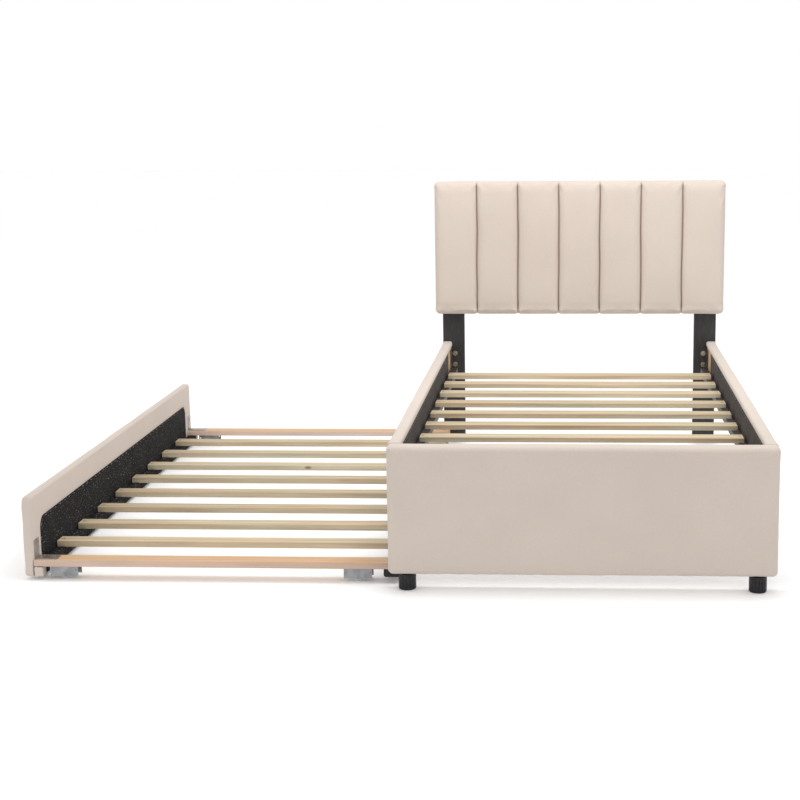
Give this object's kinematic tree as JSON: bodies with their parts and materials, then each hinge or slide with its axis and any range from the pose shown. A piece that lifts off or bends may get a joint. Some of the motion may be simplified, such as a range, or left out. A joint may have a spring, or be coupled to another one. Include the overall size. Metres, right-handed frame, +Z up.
{
  "type": "trundle bed",
  "caption": "Upholstered single bed with a channelled headboard, slatted deck and a low slatted trundle that rolls out from under its side on small casters.",
  "frame": {"origin": "on the floor, in the middle of the footprint of bed and rolled-out trundle together", "axes": "+X across the bed, from the rolled-out trundle to the bed; +Y from footboard to headboard; +Z up"},
  "size_m": [2.128, 2.0234, 1.028],
  "materials": {
    "cream_fabric": "short velvet-like weave",
    "grey_lining": "non-woven dust cloth",
    "black_lining": "non-woven dust cloth",
    "black_wood": "satin black paint",
    "pale_pine": "planed pine",
    "orange_pine": "planed knotty pine",
    "board_wood": "sawn board",
    "black_plastic": "moulded",
    "wheel_plastic": "moulded",
    "zinc_steel": "zinc plated",
    "bright_steel": "zinc plated"
  },
  "bodies": {
    "bed": {"angle_bolts": "bright_steel", "bed_slat_1": "pale_pine", "bed_slat_2": "pale_pine", "bed_slat_3": "pale_pine", "bed_slat_4": "pale_pine", "bed_slat_5": "pale_pine", "bed_slat_6": "pale_pine", "bed_slat_7": "pale_pine", "bed_slat_8": "pale_pine", "bed_slat_9": "pale_pine", "bed_slat_screws": "bright_steel", "feet": "black_plastic", "foot_angles": "zinc_steel", "footboard_battens": "board_wood", "footboard_cover": "cream_fabric", "footboard_lining": "grey_lining", "footboard_panel": "board_wood", "headboard_back_cover": "black_lining", "headboard_board": "board_wood", "headboard_bolts": "bright_steel", "headboard_cushion": "cream_fabric", "left_head_angle": "zinc_steel", "left_post": "black_wood", "left_rail_board": "board_wood", "left_rail_cover": "cream_fabric", "left_rail_lining": "grey_lining", "left_slat_ledge": "black_wood", "post_glides": "black_plastic", "right_head_angle": "zinc_steel", "right_post": "black_wood", "right_rail_board": "board_wood", "right_rail_cover": "cream_fabric", "right_rail_lining": "grey_lining", "right_slat_ledge": "black_wood"},
    "trundle": {"caster_axles": "bright_steel", "caster_brackets": "zinc_steel", "caster_screws": "bright_steel", "trundle_back_rail": "orange_pine", "trundle_bracket_screws": "bright_steel", "trundle_corner_brackets": "zinc_steel", "trundle_front_rail": "orange_pine", "trundle_inner_bar": "black_wood", "trundle_panel_board": "board_wood", "trundle_panel_cover": "cream_fabric", "trundle_panel_lining": "black_lining", "trundle_slat_1": "pale_pine", "trundle_slat_2": "pale_pine", "trundle_slat_3": "pale_pine", "trundle_slat_4": "pale_pine", "trundle_slat_5": "pale_pine", "trundle_slat_6": "pale_pine", "trundle_slat_7": "pale_pine", "trundle_slat_8": "pale_pine", "trundle_slat_ledge": "black_wood", "trundle_slat_screws": "bright_steel"},
    "inner_back_wheel": {"wheel_inner_back": "wheel_plastic"},
    "inner_front_wheel": {"wheel_inner_front": "wheel_plastic"},
    "outer_back_wheel": {"wheel_outer_back": "wheel_plastic"},
    "outer_front_wheel": {"wheel_outer_front": "wheel_plastic"}
  },
  "joints": [
    {"name": "trundle_roll_out", "type": "slide", "parent": "bed", "child": "trundle", "axis": [-1, 0, 0], "range_m": [-1.038, 0.15]},
    {"name": "inner_back_wheel_spin", "type": "hinge", "parent": "trundle", "child": "inner_back_wheel", "pos_m": [-0.119, 0.92325, 0.014], "axis": [0, 1, 0], "continuous": true},
    {"name": "inner_front_wheel_spin", "type": "hinge", "parent": "trundle", "child": "inner_front_wheel", "pos_m": [-0.119, -0.90675, 0.014], "axis": [0, 1, 0], "continuous": true},
    {"name": "outer_back_wheel_spin", "type": "hinge", "parent": "trundle", "child": "outer_back_wheel", "pos_m": [-0.954, 0.92325, 0.014], "axis": [0, 1, 0], "continuous": true},
    {"name": "outer_front_wheel_spin", "type": "hinge", "parent": "trundle", "child": "outer_front_wheel", "pos_m": [-0.954, -0.90675, 0.014], "axis": [0, 1, 0], "continuous": true}
  ],
  "couplings": [
    {"joint": "inner_back_wheel_spin", "follows": "trundle_roll_out", "rad_per_m": -71.429},
    {"joint": "inner_front_wheel_spin", "follows": "trundle_roll_out", "rad_per_m": -71.429},
    {"joint": "outer_back_wheel_spin", "follows": "trundle_roll_out", "rad_per_m": -71.429},
    {"joint": "outer_front_wheel_spin", "follows": "trundle_roll_out", "rad_per_m": -71.429}
  ]
}
